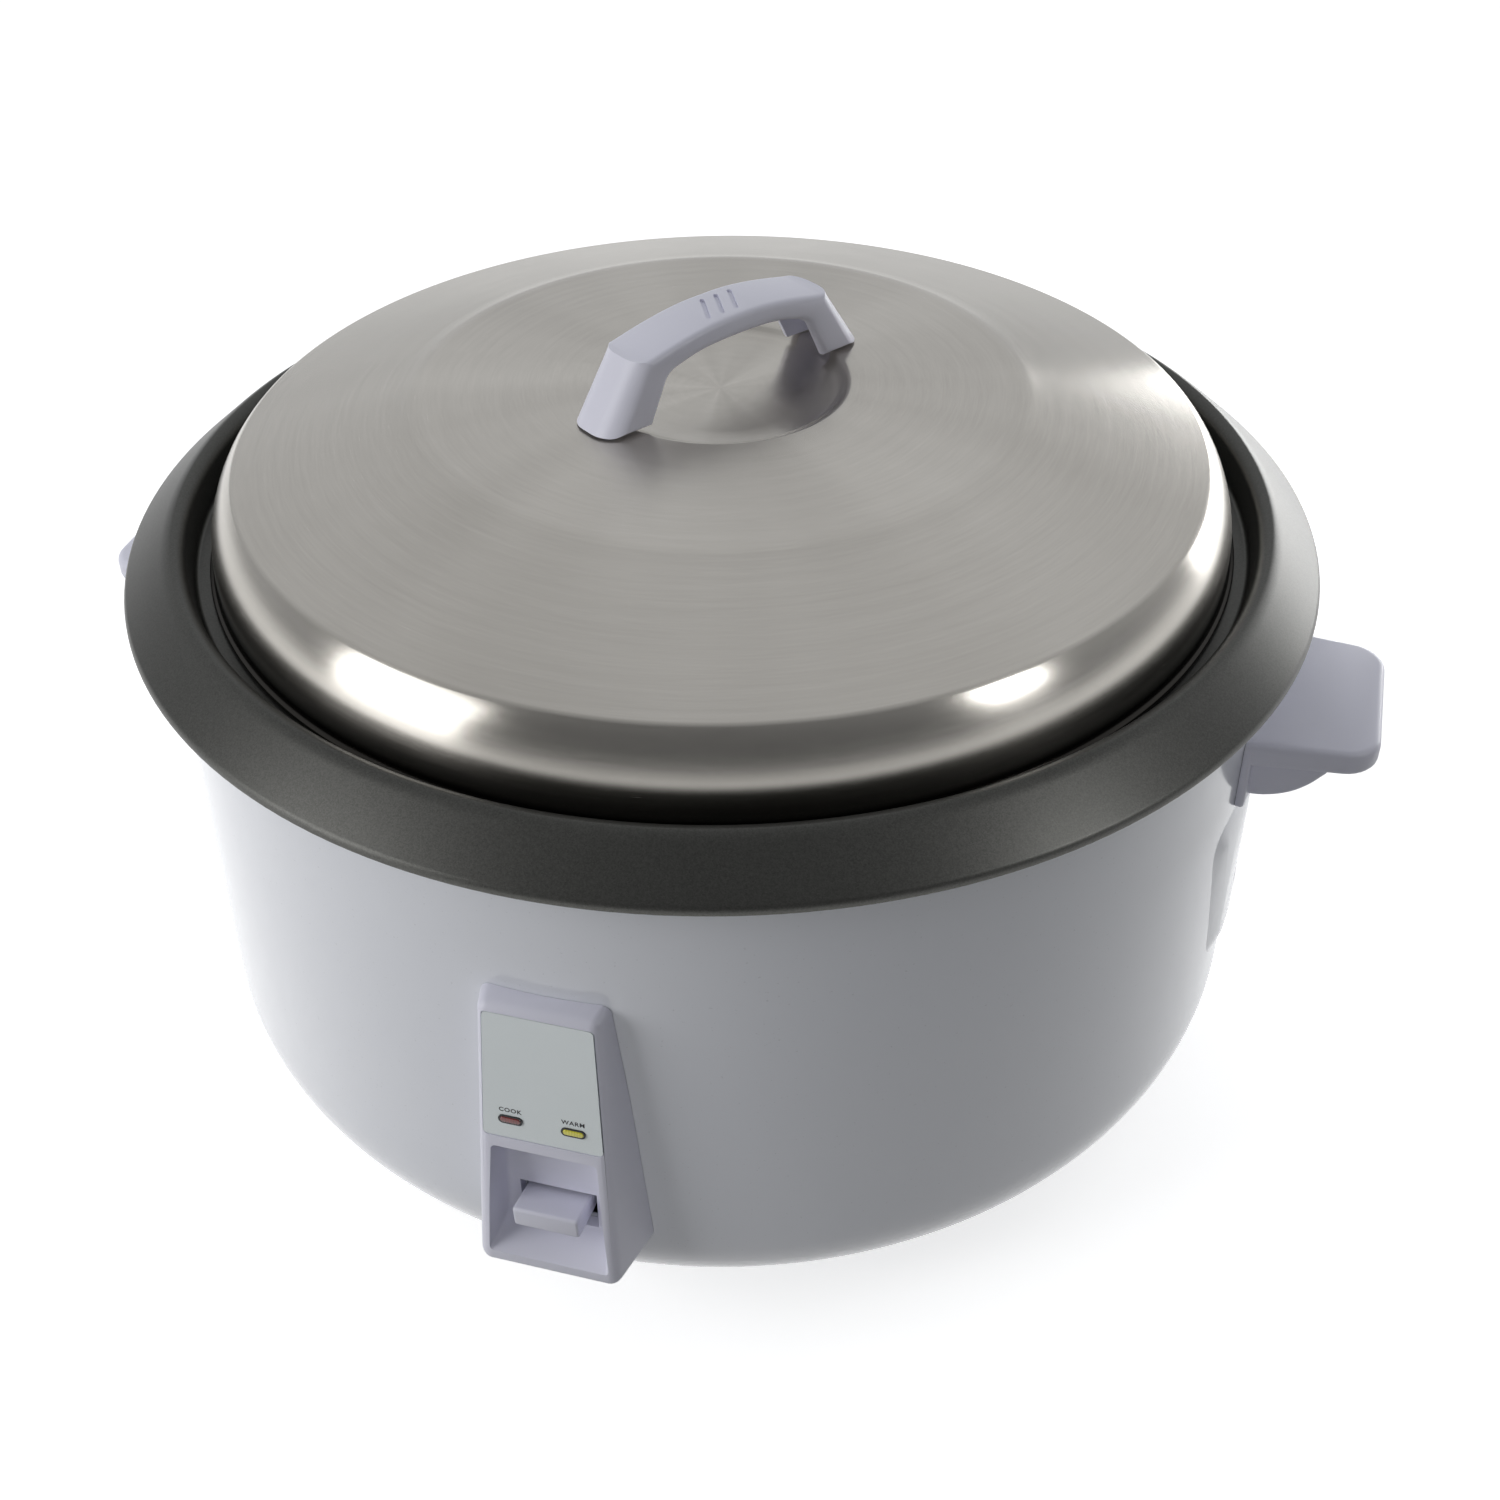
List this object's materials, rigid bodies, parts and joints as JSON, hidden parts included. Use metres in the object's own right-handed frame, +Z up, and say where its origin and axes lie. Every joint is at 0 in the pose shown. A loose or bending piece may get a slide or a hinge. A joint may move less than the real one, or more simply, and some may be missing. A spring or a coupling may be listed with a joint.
{
  "type": "rice cooker",
  "caption": "Catering rice cooker: round enamelled body, lift-out pan under a domed steel lid, side handles and a front cook lever.",
  "frame": {"origin": "on the floor under the middle of the body", "axes": "+Z up, the control box faces -Y, the inlet is at +X"},
  "size_m": [0.512, 0.457, 0.3129],
  "materials": {
    "enamel": "gloss",
    "plastic": "satin gloss",
    "coating": "satin metallic flake",
    "steel": "brushed",
    "alloy_sheet": "plain sheet",
    "sheet": "plain sheet",
    "cast_alloy": "cast",
    "label": "satin",
    "red": "clear red",
    "yellow": "clear yellow",
    "lamp": "clear",
    "board": "matte",
    "black": "matte",
    "rubber": "matte",
    "brass": "plain",
    "ferrite": "sintered",
    "screw": "plated"
  },
  "bodies": {
    "base": {"outer_body": "enamel", "base_plate": "sheet", "foot_1": "rubber", "foot_2": "rubber", "foot_3": "rubber", "foot_4": "rubber", "base_screw_1": "screw", "base_screw_2": "screw", "base_screw_3": "screw", "inner_shell": "alloy_sheet", "heating_plate": "cast_alloy", "plate_post_1": "screw", "plate_post_2": "screw", "plate_post_3": "screw", "terminal_1": "brass", "terminal_2": "brass", "thermal_fuse": "screw", "sensor_sleeve": "sheet", "sensor_spring": "steel", "arm_bracket": "sheet", "arm_pin": "screw", "switch_body": "black", "lever_pin": "screw", "lever_bracket": "sheet", "control_box": "plastic", "box_screw_1": "screw", "box_screw_2": "screw", "box_screw_3": "screw", "label_plate": "label", "cook_lens": "red", "cook_lamp": "lamp", "warm_lens": "yellow", "warm_lamp": "lamp", "lamp_board": "board", "side_handle_right": "plastic", "side_handle_left": "plastic", "handle_screw_1": "screw", "handle_screw_2": "screw", "handle_screw_3": "screw", "handle_screw_4": "screw", "inlet_plate": "enamel", "inlet_socket": "black", "inlet_pin_1": "brass", "inlet_pin_2": "brass", "inlet_pin_3": "brass", "terminal_block": "board"},
    "pan": {"pan": "coating"},
    "lid": {"lid": "steel", "lid_handle": "plastic", "lid_screw_1": "screw", "lid_screw_2": "screw"},
    "cook_lever": {"cook_lever": "plastic"},
    "rocker": {"magnet_arm": "sheet"},
    "magnet": {"magnet": "ferrite", "magnet_rod": "screw"},
    "switch_button": {"switch_button": "red"},
    "sensor_cap": {"sensor_cap": "cast_alloy", "sensor_disc": "ferrite"}
  },
  "joints": [
    {"name": "pan_lift", "type": "slide", "parent": "base", "child": "pan", "axis": [0, 0, 1], "range_m": [0, 0.2]},
    {"name": "lid_lift", "type": "slide", "parent": "pan", "child": "lid", "axis": [0, 0, 1], "range_m": [0, 0.12]},
    {"name": "cook_lever_press", "type": "hinge", "parent": "base", "child": "cook_lever", "pos_m": [0, -0.196, 0.068], "axis": [1, 0, 0], "range_deg": [0, 12], "stiffness_Nm_per_rad": 0.5, "springref_deg": -5.73},
    {"name": "rocker_tilt", "type": "hinge", "parent": "base", "child": "rocker", "pos_m": [0, -0.12, 0.0172], "axis": [1, 0, 0], "range_deg": [0, 1.75]},
    {"name": "magnet_rise", "type": "slide", "parent": "base", "child": "magnet", "axis": [0, 0, 1], "range_m": [0, 0.00365]},
    {"name": "switch_close", "type": "slide", "parent": "base", "child": "switch_button", "axis": [0, 0, 1], "range_m": [0, 0.00225]},
    {"name": "sensor_press", "type": "slide", "parent": "base", "child": "sensor_cap", "axis": [0, 0, 1], "range_m": [-0.0015, 0], "stiffness_N_per_m": 600, "springref_m": 0.002, "deforming": ["sensor_spring"]}
  ],
  "couplings": [
    {"joint": "rocker_tilt", "follows": "cook_lever_press", "ratio": 0.144},
    {"joint": "magnet_rise", "follows": "cook_lever_press", "m_per_rad": 0.01728},
    {"joint": "switch_close", "follows": "cook_lever_press", "m_per_rad": 0.0105}
  ]
}
